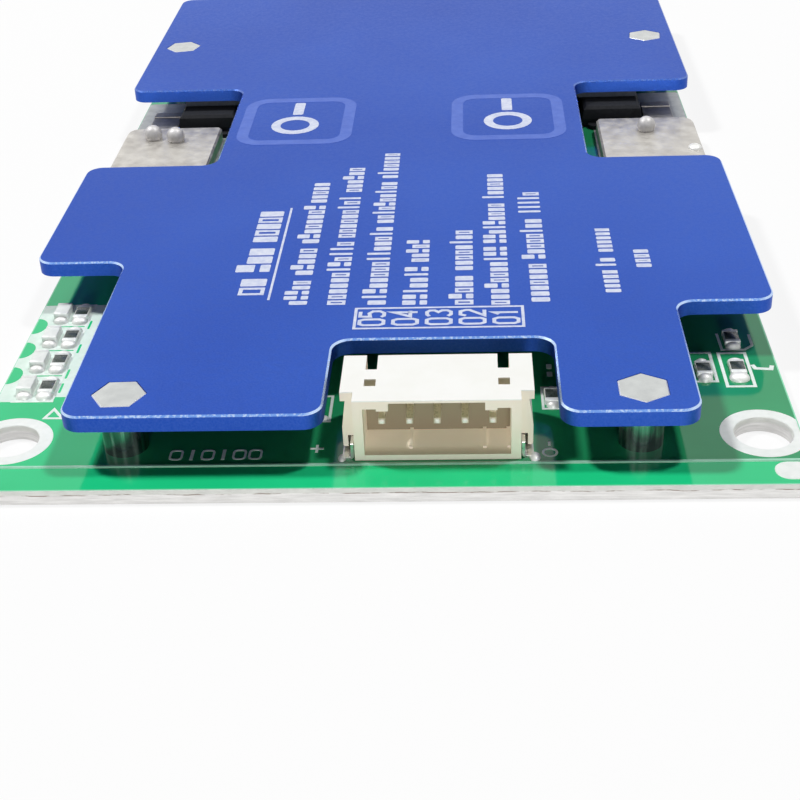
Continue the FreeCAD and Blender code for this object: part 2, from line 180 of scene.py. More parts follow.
class Finish:
    """A node material being put together; values that are the same all over sit on the shader."""

    def __init__(self, name, **fixed):
        self.material = bpy.data.materials.new(name)
        self.material.use_nodes = True
        self.tree = self.material.node_tree
        self.shader = self.tree.nodes["Principled BSDF"]
        for key, value in fixed.items():
            self.shader.inputs[key.replace("_", " ")].default_value = value
        self.place = self.node("ShaderNodeTexCoord").outputs["Object"]

    def node(self, kind, inputs=None, **settings):
        made = self.tree.nodes.new(kind)
        for key, value in settings.items():
            setattr(made, key, value)
        for key, value in (inputs or {}).items():
            self.put(made.inputs[key], value)
        return made

    def put(self, socket, value):
        if isinstance(value, bpy.types.NodeSocket):
            self.tree.links.new(value, socket)
        else:
            socket.default_value = value

    def set(self, key, value):
        self.put(self.shader.inputs[key], value)

    def axes(self):
        """Place on the object along X, Y and Z."""
        return self.node("ShaderNodeSeparateXYZ", {"Vector": self.place}).outputs

    def facing(self):
        """Direction that the surface faces, along X, Y and Z."""
        geometry = self.node("ShaderNodeNewGeometry")
        return self.node("ShaderNodeSeparateXYZ", {"Vector": geometry.outputs["Normal"]}).outputs

    def maths(self, operation, *values):
        made = self.node("ShaderNodeMath", operation=operation)
        for socket, value in zip(made.inputs, values):
            self.put(socket, value)
        return made.outputs[0]

    def times(self, first, *others):
        for other in others:
            first = self.maths("MULTIPLY", first, other)
        return first

    def less(self, value, amount):
        return self.maths("SUBTRACT", value, amount)

    def unsigned(self, value):
        return self.maths("ABSOLUTE", value)

    def distance(self, a, b):
        """Length of the line whose two parts are a and b."""
        return self.maths("SQRT", self.maths("ADD", self.times(a, a), self.times(b, b)))

    def between(self, value, start, end, low=0.0, high=1.0):
        """Value moved from the range start..end to the range low..high."""
        return self.node("ShaderNodeMapRange", {
            "Value": value, "From Min": start, "From Max": end, "To Min": low,
            "To Max": high}).outputs["Result"]

    def noise(self, size, detail=3.0, stretch=None):
        """Cloudy value from 0 to 1 whose features are about size millimetres."""
        place = self.place
        if stretch:
            place = self.node("ShaderNodeMapping", {"Vector": place, "Scale": stretch}).outputs[0]
        return self.node("ShaderNodeTexNoise", {
            "Vector": place, "Scale": 1 / (size * MM), "Detail": detail,
            "Roughness": 0.55}).outputs["Fac"]

    def varied(self, size, low, high):
        """Value that drifts between low and high over about size millimetres."""
        return self.between(self.noise(size), 0.3, 0.7, low, high)

    def blend(self, factor, low, high):
        made = self.node("ShaderNodeMix", {"Factor": factor}, data_type="RGBA")
        colours = [socket for socket in made.inputs if socket.type == "RGBA"]
        self.put(colours[0], low)
        self.put(colours[1], high)
        return next(socket for socket in made.outputs if socket.type == "RGBA")

    def tone(self, value, low, high, start=0.3, end=0.7):
        """Colour that goes from low to high as a value goes from start to end."""
        return self.blend(self.between(value, start, end), low, high)

    def bevels(self):
        """Value of 1 on the slanting faces round an upper edge."""
        up = self.facing()["Z"]
        return self.times(self.between(up, 0.25, 0.45), self.between(up, 0.97, 0.9))

    def bump(self, height, depth):
        """Relief of depth millimetres."""
        self.set("Normal", self.node("ShaderNodeBump", {
            "Height": height, "Distance": depth * MM, "Strength": 1.0}).outputs["Normal"])


def cloudy(name, low, high, size, rough, relief=0.0, relief_size=0.2, **fixed):
    """Surface between two close screen colours, with uneven gloss and a fine relief."""
    finish = Finish(name, **fixed)
    finish.set("Base Color", finish.tone(finish.noise(size), linear(*low), linear(*high)))
    finish.set("Roughness", finish.varied(size * 0.6, *rough))
    if relief:
        finish.bump(finish.noise(relief_size), relief)
    return finish.material


def board_finish():
    """Green mask, paler at the rim, where the mask is thinner and a highlight along the edge is
    painted, and missing round the holes; the edge shows bare metal under a pale layer, with a broken
    dark line between them."""
    finish = Finish("board_mask", IOR=1.44)
    x, y, z = finish.axes()
    up = finish.facing()["Z"]
    top = finish.maths("GREATER_THAN", up, 0.5)
    side = finish.maths("LESS_THAN", finish.unsigned(up), 0.5)
    # Top face
    across = finish.between(finish.unsigned(x), (SIDE - 0.16) * MM, (SIDE - 0.05) * MM)
    along = finish.between(finish.unsigned(y), (REAR - 0.16) * MM, (REAR - 0.05) * MM)
    # Paler rim: partly thinner mask, partly a painted highlight along the edge
    rim = finish.maths("MAXIMUM", across, along)
    mask = finish.blend(rim, finish.tone(finish.noise(9), MASK_LOW, MASK_HIGH),
                        linear(148, 226, 188))
    from_hole = finish.distance(finish.less(finish.unsigned(x), MOUNT_X * MM),
                                finish.less(y, MOUNT_Y * MM))
    hole = finish.between(from_hole, 2.5 * MM, 2.4 * MM)
    mask = finish.blend(hole, mask, linear(230, 232, 229))
    # Edge
    metal = finish.tone(finish.noise(0.5, stretch=(0.25, 0.25, 3.0)),
                        linear(205, 204, 202), linear(230, 229, 227))
    layer = finish.tone(finish.noise(1.2), linear(214, 216, 210), linear(232, 234, 228))
    upper = finish.maths("GREATER_THAN", z, (DECK - 0.4) * MM)
    wave = finish.varied(2.2, -0.06 * MM, 0.06 * MM)
    off_line = finish.unsigned(finish.maths("ADD", wave, finish.less(z, (DECK - 0.42) * MM)))
    broken = finish.between(finish.noise(1.6, stretch=(1.0, 1.0, 0.2)), 0.42, 0.56)
    line = finish.times(broken, finish.between(off_line, 0.055 * MM, 0.02 * MM),
                        finish.less(1.0, hole))
    edge = finish.blend(finish.times(upper, side), metal, layer)
    edge = finish.blend(finish.times(line, side), edge, linear(142, 128, 118))
    finish.set("Base Color", finish.blend(top, edge, mask))
    bare = finish.less(1.0, top)
    finish.set("Metallic", finish.times(bare, finish.between(upper, 0.0, 1.0, 0.8, 0.1)))
    finish.set("Roughness", finish.maths("ADD", finish.times(top, finish.varied(3, 0.07, 0.1)),
                                         finish.times(bare, finish.varied(0.3, 0.42, 0.6))))
    finish.bump(finish.noise(2.4, detail=2.0), 0.004)
    return finish.material


def copper_finish():
    """Mask over copper, duller than over the bare board except along the left side."""
    finish = Finish("board_mask_on_copper", IOR=1.44)
    duller = finish.tone(finish.noise(9), linear(34, 149, 94), linear(44, 160, 103))
    bright = finish.tone(finish.noise(9), MASK_LOW, MASK_HIGH)
    inner = finish.between(finish.axes()["X"], COPPER_LEFT * MM, (COPPER_LEFT + 0.3) * MM)
    finish.set("Base Color", finish.blend(inner, bright, duller))
    finish.set("Roughness", finish.varied(3, 0.07, 0.1))
    finish.bump(finish.noise(2.4, detail=2.0), 0.004)
    return finish.material


def plate_finish():
    """Blue anodised aluminium with a fine blasted grain; its bevels are brighter and smoother, partly
    a deburred edge and partly a painted highlight, with painted sparkling specks, a brighter painted
    highlight on the bevels facing sideways, and the painted highlight fading towards the far end."""
    finish = Finish("anodised_blue", Metallic=0.95, IOR=1.45,
                    Specular_Tint=(0.82, 0.86, 1.0, 1.0))
    grain = finish.noise(0.16, detail=2.0)
    colour = finish.tone(finish.noise(22, detail=2.0), linear(34, 74, 169), linear(42, 84, 179))
    colour = finish.blend(finish.between(grain, 0.3, 0.7, 0.0, 0.12), colour,
                          linear(110, 140, 220))
    # Bevel colour: partly a deburred edge, partly a painted highlight; painted sparkling specks, a
    # brighter painted highlight on side-facing bevels, and the painted highlight fading towards the
    # far end
    bevel = finish.bevels()
    near = finish.between(finish.axes()["Y"], -10 * MM, 15 * MM, 1.0, 0.2)
    side_highlight = finish.between(finish.unsigned(finish.facing()["X"]), 0.06, 0.4)
    painted_sparkling_specks = finish.between(finish.noise(0.24, detail=5.0), 0.47, 0.62, 0.0, 0.9)
    bevel_highlight = finish.blend(finish.maths("MAXIMUM", side_highlight, painted_sparkling_specks),
                            linear(116, 157, 228), linear(192, 214, 245))
    finish.set("Base Color", finish.blend(finish.times(bevel, near), colour, bevel_highlight))
    finish.set("Roughness", finish.less(finish.varied(0.4, 0.36, 0.46),
                                        finish.times(bevel, 0.14)))
    finish.bump(grain, 0.006)
    return finish.material


def header_finish():
    """White nylon whose top face is whiter and other faces warmer, a painted stand-in for the warm
    light scattered in the nylon; the back wall of the cavity has painted shade, and the cavity's
    floor and side faces a painted glow.
    """
    finish = Finish("header_nylon", IOR=1.5)
    x, y, z = finish.axes()
    near, roof = header_low.y, header_high.z
    # Top face whiter and the rest warmer: painted light and shade, not a different nylon
    top = finish.between(z, (roof - 0.12) * MM, (roof - 0.04) * MM)
    colour = finish.blend(
        top, finish.tone(finish.noise(2.5), linear(250, 238, 219), linear(253, 243, 227)),
        finish.tone(finish.noise(2.5), linear(248, 248, 243), linear(252, 252, 249)))
    # Painted shade on the back wall of the cavity
    towards = finish.between(finish.facing()["Y"], -0.6, -0.8)
    painted_shade_depth = finish.between(y, (near + 2.6) * MM, (near + 3.2) * MM)
    finish.set("Base Color", finish.blend(finish.times(towards, painted_shade_depth), colour,
                                          linear(150, 138, 115)))
    # Painted glow on the cavity's floor and side faces, standing in for light that comes through the
    # thin walls
    middle = (header_low.x + header_high.x) / 2
    half = (header_high.x - header_low.x) / 2 - 1.5
    aside = finish.unsigned(finish.less(x, middle * MM))
    painted_glow_zone = finish.times(finish.between(y, (near + 0.3) * MM, (near + 1.2) * MM),
                          finish.between(y, (near + 3.5) * MM, (near + 3.4) * MM),
                          finish.between(z, (roof - 0.6) * MM, (roof - 0.9) * MM),
                          finish.between(aside, half * MM, (half - 0.1) * MM))
    finish.set("Emission Color", linear(255, 243, 222))
    finish.set("Emission Strength", finish.times(painted_glow_zone, 0.14, finish.less(1.0, towards)))
    finish.set("Roughness", finish.varied(1.5, 0.42, 0.52))
    finish.bump(finish.noise(0.25), 0.004)
    return finish.material


def pin_finish():
    """Pins with a painted glint at their ends and a warm painted reflection of the cavity along their
    length.
    """
    finish = Finish("pin_plated", Metallic=0.1, IOR=1.5)
    low, high = span("header_pin_1")
    half_pitch = 1.0
    x, y, z = finish.axes()
    middle, level = (low.x + high.x) / 2, high.z - (high.x - low.x) / 2
    across = finish.maths("PINGPONG", finish.less(x, middle * MM), half_pitch * MM)
    away = finish.distance(across, finish.less(z, level * MM))
    # Painted glint at the pins' ends
    tip_glint = finish.times(finish.between(away, 0.24 * MM, 0.17 * MM),
                       finish.between(y, (low.y + 0.3) * MM, (low.y + 0.12) * MM))
    # Warm colour along the pins: painted reflection of the cavity's nylon
    shaft_reflection = finish.tone(finish.noise(0.6), linear(218, 208, 186), linear(228, 219, 199))
    finish.set("Base Color", finish.blend(tip_glint, shaft_reflection, linear(255, 248, 242)))
    finish.set("Roughness", finish.varied(0.3, 0.24, 0.34))
    return finish.material


def standoff_finish():
    """Plated steel, bright on the clinched head, with a painted highlight on its chamfer, and darker
    with streaks on the barrel, the darkness being painted shade under the plate.
    """
    finish = Finish("standoff_plated")
    # Painted highlight on the head's chamfer
    rim = finish.bevels()
    head = finish.between(finish.axes()["Z"], (plate_low.z - 0.1) * MM, plate_low.z * MM)
    bright = finish.tone(finish.noise(1.4), linear(196, 199, 198), linear(214, 217, 215))
    # Barrel darker than the head: painted shade under the plate, with streaks along its length
    streaked_shade = finish.tone(finish.noise(0.35, stretch=(1.0, 1.0, 0.05)),
                           linear(112, 121, 124), linear(204, 209, 210), 0.42, 0.72)
    finish.set("Base Color", finish.blend(rim, finish.blend(head, streaked_shade, bright),
                                          linear(246, 247, 250)))
    finish.set("Metallic", finish.between(rim, 0.0, 1.0, 1.0, 0.1))
    finish.set("Roughness", finish.varied(0.9, 0.16, 0.24))
    finish.bump(finish.noise(0.3), 0.003)
    return finish.material


def finishes():
    """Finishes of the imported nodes, then those of the thin layers, the chips' parts and the ink."""
    return {
        "board": board_finish(),
        "plate": plate_finish(),
        "standoff": standoff_finish(),
        "header": header_finish(),
        "pin": pin_finish(),
        "screw": cloudy("screw_plated", (190, 190, 188), (216, 216, 214), 0.8, (0.28, 0.4),
                        0.004, 0.15, Metallic=1.0),
        "tin": cloudy("tin_bright", (205, 204, 198), (228, 227, 222), 0.6, (0.26, 0.4),
                      0.003, 0.2, Metallic=1.0),
        "terminal": cloudy("terminal_tinned", (178, 174, 168), (204, 201, 195), 1.6,
                           (0.38, 0.54), 0.012, 0.5, Metallic=0.9),
        "ball": cloudy("solder_dull", (184, 182, 182), (208, 206, 206), 0.5, (0.46, 0.6),
                       0.01, 0.25, Metallic=0.4),
        "transistor": cloudy("transistor_mould", (17, 19, 24), (25, 27, 32), 0.5, (0.66, 0.8),
                             0.008, 0.12, IOR=1.32),
        "heat_pad": cloudy("heat_pad_soft", (62, 68, 78), (76, 82, 92), 0.6, (0.75, 0.9),
                           0.02, 0.25),
        "shunt": cloudy("shunt_strip", (160, 156, 150), (186, 183, 178), 0.8, (0.36, 0.5),
                        0.008, 0.25, Metallic=0.95),
        "chip": cloudy("chip_mould", (28, 28, 31), (40, 40, 43), 0.5, (0.5, 0.62),
                       0.006, 0.12, IOR=1.5),
        "copper": copper_finish(),
        # Pale rim of the copper areas: thinner mask, partly a painted highlight
        "copper_rim": cloudy("mask_thin_on_rim_with_painted_highlight", (150, 214, 184), (176, 226, 202), 1.5,
                             (0.2, 0.3), IOR=1.5),
        "bare": cloudy("bare_pad", (234, 239, 235), (245, 248, 245), 0.7, (0.34, 0.46),
                       0.006, 0.4, IOR=1.5),
        "field": cloudy("pale_field", (216, 236, 225), (230, 245, 237), 0.9, (0.35, 0.5),
                        IOR=1.45),
        "tinned": cloudy("tinned_land", (168, 172, 174), (196, 199, 200), 1.4, (0.4, 0.55),
                         0.006, 0.5, Metallic=0.7),
        "chip_end": cloudy("chip_end_tinned", (222, 226, 223), (240, 242, 240), 0.4,
                           (0.36, 0.5), 0.004, 0.15, Metallic=0.2),
        "glaze": cloudy("resistor_glaze", (44, 54, 50), (66, 76, 71), 0.5, (0.22, 0.34),
                        IOR=1.5),
        "alumina": cloudy("resistor_ceramic", (214, 212, 204), (230, 228, 222), 0.5,
                          (0.5, 0.6), IOR=1.5),
        "capacitor": cloudy("capacitor_ceramic", (228, 233, 229), (241, 244, 241), 0.5,
                            (0.35, 0.5), IOR=1.5),
        "solder": cloudy("solder_satin", (226, 226, 223), (244, 244, 241), 0.5, (0.4, 0.54),
                         0.005, 0.3, Metallic=0.3),
        "ink": cloudy("white_ink", (224, 238, 230), (242, 249, 245), 0.4, (0.4, 0.55),
                      IOR=1.48),
        "print": cloudy("plate_ink", (196, 204, 232), (224, 229, 244), 0.5, (0.45, 0.6),
                        IOR=1.48),
        "label": cloudy("plate_label", (74, 102, 186), (84, 112, 194), 1.2, (0.5, 0.6),
                        Metallic=0.6, IOR=1.5),
    }


CORNERS = ("front_left", "front_right", "rear_left", "rear_right")
SLOT_NODES = {
    "board": ["base_board"],
    "plate": ["heat_plate"],
    "header": ["header_housing"],
    "terminal": ["terminal_bar_left", "terminal_bar_right"],
    "ball": ["terminal_dot_left_1", "terminal_dot_left_2", "terminal_dot_right"],
    "heat_pad": ["heat_pad_front", "heat_pad_rear"],
    "shunt": ["shunt_left", "shunt_right"],
    "chip": ["protection_chip"],
    "tin": ["header_tab_left", "header_tab_right"],
    "pin": ["header_pin_%d" % k for k in range(1, 6)],
    "standoff": ["standoff_" + corner for corner in CORNERS],
    "screw": ["board_screw_" + corner for corner in CORNERS],
    "transistor": ["%s_transistor_%d" % (row, k)
                   for row in ("discharge", "charge") for k in range(1, 7)],
}
# Small rounding on sharp edges, by slot
ROUNDING = {"header": 0.06, "transistor": 0.05, "shunt": 0.06, "tin": 0.04, "pin": 0.03,
            "heat_pad": 0.12}
CELLS = range(1, 5)
RESISTORS = (["cell_resistor_%d" % k for k in CELLS] +
             ["corner_resistor_%d" % k for k in range(1, 4)] + ["header_resistor"])
CAPACITORS = (["cell_capacitor_%d" % k for k in CELLS] +
              ["header_capacitor", "supply_capacitor_1", "supply_capacitor_2"])


def dress(name, material, rounding=0.0):
    """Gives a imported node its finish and, where asked, a small rounding on its sharp edges."""
    node = nodes[name]
    node.data.materials.clear()
    node.data.materials.append(material)
    if rounding:
        weld = node.modifiers.new("weld", "WELD")
        weld.merge_threshold = 0.001 * MM
        bevel = node.modifiers.new("rounding", "BEVEL")
        bevel.width, bevel.segments = rounding * MM, 2
        bevel.limit_method, bevel.angle_limit = "ANGLE", math.radians(30)
        bevel.use_clamp_overlap = True


# Forms, in millimetres
class Forms:
    """Closed forms gathered into one piece; kind is the place of a form's finish in the piece."""

    def __init__(self):
        self.points, self.faces, self.kinds = [], [], []

    def loft(self, rings, kind=0, closed=False):
        """Skin through rings of equal count, capped at both ends or joined end to end."""
        base, count = len(self.points), len(rings[0])
        points = [tuple(p) for ring in rings for p in ring]
        faces = []
        for k in range(len(rings) - 1 + int(closed)):
            a, b = k * count, (k + 1) % len(rings) * count
            faces += [(a + i, a + (i + 1) % count, b + (i + 1) % count, b + i)
                      for i in range(count)]
        if not closed:
            faces += [tuple(range(count))[::-1], tuple(range(len(points) - count, len(points)))]
        self.points += points
        self.faces += [[base + i for i in face] for face in faces]
        self.kinds += [kind] * len(faces)

    def slab(self, outline, low, high, kind=0, slope=0.0):
        """Flat form on an outline, drawn in by slope towards its top."""
        top = shifted(outline, slope, True) if slope else outline
        self.loft([[(x, y, low) for x, y in outline], [(x, y, high) for x, y in top]], kind)

    def stroke(self, line, width, low, high, closed=False):
        """Drawn line of even width with mitred corners."""
        left, right = shifted(line, width / 2, closed), shifted(line, -width / 2, closed)
        if closed:
            self.loft([[(a.x, a.y, low), (a.x, a.y, high), (b.x, b.y, high), (b.x, b.y, low)]
                       for a, b in zip(left, right)], closed=True)
        else:
            self.slab([(p.x, p.y) for p in left + right[::-1]], low, high)

    def dome(self, x, y, base, radii, height, seed, rough, steps=7, sides=20):
        """Uneven mound of solder."""
        rings = []
        for k in range(steps):
            t = k / (steps - 0.6) * math.pi / 2
            ring = []
            for i in range(sides):
                a = 2 * math.pi * i / sides
                spot = (math.cos(a) * 1.3 + seed, math.sin(a) * 1.3, seed * 0.7 + t)
                wobble = 1 + rough * noise.noise(spot)
                ring.append((x + radii[0] * math.cos(t) * math.cos(a) * wobble,
                             y + radii[1] * math.cos(t) * math.sin(a) * wobble,
                             base + height * math.sin(t)))
            rings.append(ring)
        self.loft(rings)

    def piece(self, name, materials, slot, smooth=None, replaces=()):
        """Makes the gathered forms one object that rides on the body."""
        mesh = bpy.data.meshes.new(name)
        mesh.from_pydata([(x * MM, y * MM, z * MM) for x, y, z in self.points], [], self.faces)
        for material in materials:
            mesh.materials.append(material)
        mesh.polygons.foreach_set("material_index", self.kinds)
        work = bmesh.new()
        work.from_mesh(mesh)
        bmesh.ops.recalc_face_normals(work, faces=work.faces)
        work.to_mesh(mesh)
        work.free()
        if smooth is not None:
            mesh.shade_smooth()
            mesh.set_sharp_from_angle(angle=math.radians(smooth))
        made = bpy.data.objects.new(name, mesh)
        scene.collection.objects.link(made)
        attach(made, BODY)
        if replaces:
            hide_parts(*replaces)


def shifted(line, distance, closed):
    """Line moved sideways by distance, to its left, with mitred corners."""
    line = [Vector(p) for p in line]
    moved = []
    for i, here in enumerate(line):
        before = here - line[i - 1] if i or closed else None
        after = line[(i + 1) % len(line)] - here if i < len(line) - 1 or closed else None
        before, after = (before or after).normalized(), (after or before).normalized()
        a, b = Vector((-before.y, before.x)), Vector((-after.y, after.x))
        moved.append(here + (a + b) / (1 + a.dot(b)) * distance)
    return moved


def rectangle(x0, x1, y0, y1, radius=0.0, steps=3):
    """Anticlockwise outline of a rectangle with rounded corners."""
    if radius <= 0:
        return [(x0, y0), (x1, y0), (x1, y1), (x0, y1)]
    centres = ((x1 - radius, y0 + radius, -90), (x1 - radius, y1 - radius, 0),
               (x0 + radius, y1 - radius, 90), (x0 + radius, y0 + radius, 180))
    outline = []
    for x, y, start in centres:
        for k in range(steps + 1):
            a = math.radians(start + 90 * k / steps)
            outline.append((x + radius * math.cos(a), y + radius * math.sin(a)))
    return outline


def circle(x, y, radius, steps):
    turns = [2 * math.pi * i / steps for i in range(steps)]
    return [(x + radius * math.cos(a), y + radius * math.sin(a)) for a in turns]


def front_box(x0, x1, y0, y1, radius=0.0, steps=3):
    """Rectangle whose ends are given from the board's front edge."""
    return rectangle(x0, x1, FRONT + y0, FRONT + y1, radius, steps)


def front_line(*points):
    """Points whose place along the board is given from its front edge."""
    return [(x, FRONT + y) for x, y in points]


# The board's surface
def make_copper():
    """Copper areas under the mask stand a little above the bare board, with a paler raised rim whose
    pale colour is partly thinner mask and partly a painted highlight.
    """
    edge, near, far = SIDE - 0.14, FRONT + 2.85, REAR - 0.35
    ring, steps = 3.1, 24
    reach = math.sqrt(ring ** 2 - (edge - MOUNT_X) ** 2)
    start = math.atan2(-reach, edge - MOUNT_X)
    outline = []
    for hand in (1, -1):
        arc = []
        for k in range(steps + 1):
            a = start - (2 * math.pi + 2 * start) * k / steps
            arc.append((hand * (MOUNT_X + ring * math.cos(a)), MOUNT_Y + ring * math.sin(a)))
        corners = [(hand * edge, near)] + arc + [(hand * edge, far)]
        outline += corners if hand > 0 else corners[::-1]
    forms = Forms()
    forms.slab(outline, DECK, COPPER_TOP)
    rim, top = 0.16, DECK + 0.1
    profile = ((near - 0.03, DECK), (near + 0.05, top), (near + 0.05 + rim, top),
               (near + 0.2 + rim, DECK))
    # Raised rim, in the pale finish that is partly a painted highlight
    forms.loft([[(x, y, z) for y, z in profile] for x in (-edge, edge)], 1)
    forms.piece("copper_areas", [FINISH["copper"], FINISH["copper_rim"]], "board")


# Kinds of form in the piece of bare pads
BARE, FIELD, TINNED, MASKED = range(4)


def add_hole_ring(forms, hand):
    """Bare ring round a mounting hole, cut straight at the board's edge."""
    inner, outer, sides = 2.19, 3.25, 64
    rings = []
    for i in range(sides):
        a = 2 * math.pi * i / sides
        dx, dy = math.cos(a), math.sin(a)
        reach = min(outer, (PAD_SIDE - MOUNT_X) / abs(dx)) if dx * hand > 0 else outer
        profile = ((inner, DECK), (inner, PAD_TOP - 0.02), (inner + 0.05, PAD_TOP),
                   (reach - 0.08, PAD_TOP), (reach, DECK))
        rings.append([(hand * MOUNT_X + r * dx, MOUNT_Y + r * dy, z) for r, z in profile])
    forms.loft(rings, BARE, closed=True)


def cell_rows():
    """Middle of each row of cell parts, along the board."""
    spans = [span("cell_resistor_%d" % k) for k in CELLS]
    return [(low.y + high.y) / 2 for low, high in spans]


def add_cell_land(forms):
    """Pale land under the cell rows, with round bites of mask at the board's edge between rows and
    thin strips of mask between the parts."""
    rows = cell_rows()
    bites = [(a + b) / 2 + 0.15 for a, b in zip(rows, rows[1:])]
    inner, step, start, end = -25.0, -26.15, rows[0] - 1.85, rows[-1] + 1.85
    outline = [(inner, rows[0] - 1.2), (inner, end), (-PAD_SIDE, end)]
    for y in reversed(bites):
        outline += [(-PAD_SIDE + 1.05 * math.sin(math.pi * k / 12),
                     y + 1.35 * math.cos(math.pi * k / 12)) for k in range(13)]
    outline += [(-PAD_SIDE, start), (step, start), (step, rows[0] - 1.2)]
    forms.slab(outline[::-1], DECK, LAND_TOP, FIELD)
    for y in bites:
        forms.slab(rectangle(-29.4, -26.35, y - 0.2, y - 0.02), DECK, PAD_TOP, MASKED)
    for y in [rows[0]] + bites:
        forms.slab(rectangle(-26.05, -25.85, y - 0.6, y + 0.9, 0.08, 1), DECK, PAD_TOP, MASKED)


def make_pads():
    """Bare rings and pad at the front, the pale land of the cell rows, and the tinned lands round
    the terminals and under the shunts."""
    forms = Forms()
    for hand in (-1, 1):
        add_hole_ring(forms, hand)
    forms.slab(front_box(27.95, PAD_SIDE, 0.6, 2.75, 1.0, 6), DECK, PAD_TOP, BARE, 0.05)
    add_cell_land(forms)
    for hand in (-1, 1):
        x0, x1 = sorted((hand * 20.2, hand * PAD_SIDE))
        forms.slab(front_box(x0, x1, 49.6, 78.5, 0.4), DECK, LAND_TOP, TINNED, 0.02)
    materials = [FINISH[kind] for kind in ("bare", "field", "tinned", "copper")]
    forms.piece("bare_pads", materials, "tin", smooth=25)


def make_silkscreen():
    """White drawing on the board: boxes round the parts, polarity signs and plain marks."""
    forms = Forms()

    def draw(width, line, closed=False):
        forms.stroke(line, width, INK_LOW, INK_TOP, closed)

    for y in cell_rows():
        draw(0.22, [(-29.5, y - 1.85), (-26.1, y - 1.85)])
        draw(0.18, [(-29.3, y + 1.85), (-26.1, y + 1.85)])
        draw(0.22, [(-28.03, y - 1.75), (-28.03, y + 1.2)])
        draw(0.26, [(-26.25, y - 1.75), (-26.25, y + 1.75)])
    draw(0.24, front_line((-26.18, 9.62), (-24.77, 9.59), (-25.72, 10.91)), True)
    # Front right corner
    draw(0.26, front_box(26.4, 28.5, 13.05, 18.2), True)
    draw(0.26, front_box(23.9, 25.72, 13.85, 18.3), True)
    draw(0.22, front_line((26.75, 21.4), (26.8, 18.75), (28.6, 18.75), (29.3, 19.4), (29.3, 21.2)))
    draw(0.34, front_line((28.8, 16.3), (28.95, 15.75), (30.15, 15.6), (30.3, 16.15)))
    # Beside the header
    draw(0.22, front_line((-4.6, 12.35), (-4.1, 12.35), (-4.1, 8.75), (-7.1, 8.75),
                          (-7.1, 12.35), (-6.6, 12.35)))
    draw(0.2, front_line((13.2, 13.25), (12.1, 13.25), (12.1, 10.15), (13.6, 10.15)))
    for y in (14.9, 16.1):
        forms.slab(front_box(12.6, 13.05, y, y + 0.75, 0.12), INK_LOW, INK_TOP)
    # Six plain marks in front of the left leg: open rectangles and two bars
    for k in range(6):
        right = -8.75 - 1.17 * k
        if k in (2, 4):
            forms.slab(front_box(right - 0.55, right - 0.3, 3.68, 5.0), INK_LOW, INK_TOP)
        else:
            draw(0.17, front_box(right - 0.86, right, 3.76, 4.92, 0.25, 2), True)
    # Polarity signs at the header's two ends
    x, y = -4.7, FRONT + 5.0
    draw(0.2, [(x - 0.5, y), (x + 0.5, y)])
    draw(0.2, [(x, y - 0.5), (x, y - 0.1)])
    draw(0.2, [(x, y + 0.1), (x, y + 0.5)])
    draw(0.18, circle(12.3, FRONT + 4.2, 0.5, 20), True)
    draw(0.2, front_line((12.3, 5.1), (12.3, 5.6)))
    forms.piece("silkscreen", [FINISH["ink"]], "board")


# Chips and solder
def make_chip(name, resistor):
    """Chip with rounded metal ends wrapped round a ceramic body, and a dark glaze on a resistor."""
    low, high = span(name)
    x, y = (low.x + high.x) / 2, (low.y + high.y) / 2
    half_x, half_y = (high.x - low.x) / 2, (high.y - low.y) / 2
    cap, rise = 0.36, 0.03
    forms = Forms()

    def along(stations, kind):
        """Skin along Y through upright sections, each given by place, inset and corner radius."""
        rings = []
        for place, inset, radius in stations:
            half, base, top = half_x - inset, low.z + inset, high.z - inset
            rings.append([(x + p, y + place, z)
                          for p, z in rectangle(-half, half, base, top, radius, 2)])
        forms.loft(rings, kind)

    for hand in (-1, 1):
        end, inner = hand * half_y, hand * (half_y - cap)
        along([(inner, 0.0, 0.07), (end - hand * 0.08, 0.0, 0.09),
               (end - hand * 0.02, 0.03, 0.07), (end, 0.09, 0.04)], 1)
    along([(-half_y + 0.1, rise, 0.05), (half_y - 0.1, rise, 0.05)], 0)
    if resistor:
        top, side = high.z - rise, half_x - 0.08
        outline = rectangle(x - side, x + side, y - half_y + cap, y + half_y - cap, 0.05)
        forms.slab(outline, top - 0.01, top + 0.022, 2, 0.03)
    body, slot = ("alumina", "resistor") if resistor else ("capacitor", "capacitor")
    forms.piece(name + "_detailed", [FINISH[body], FINISH["chip_end"], FINISH["glaze"]], slot,
                smooth=50, replaces=[name])


# Solder at a chip's two ends: width as a share of the chip's, reach along the board, height as a
# share of the chip's, and the share of that reach behind the chip
SOLDER = {
    "cell_resistor": (1.15, 0.62, 1.0, 0.75),
    "cell_capacitor": (1.05, 0.5, 0.6, 0.75),
    "corner_resistor_1": (1.3, 0.72, 1.0, 0.4),
    "corner_resistor_2": (0.95, 0.56, 1.0, 0.75),
    "header_resistor": (0.8, 0.4, 0.8, 0.75),
}
OTHER_SOLDER = (1.0, 0.5, 0.9, 0.75)


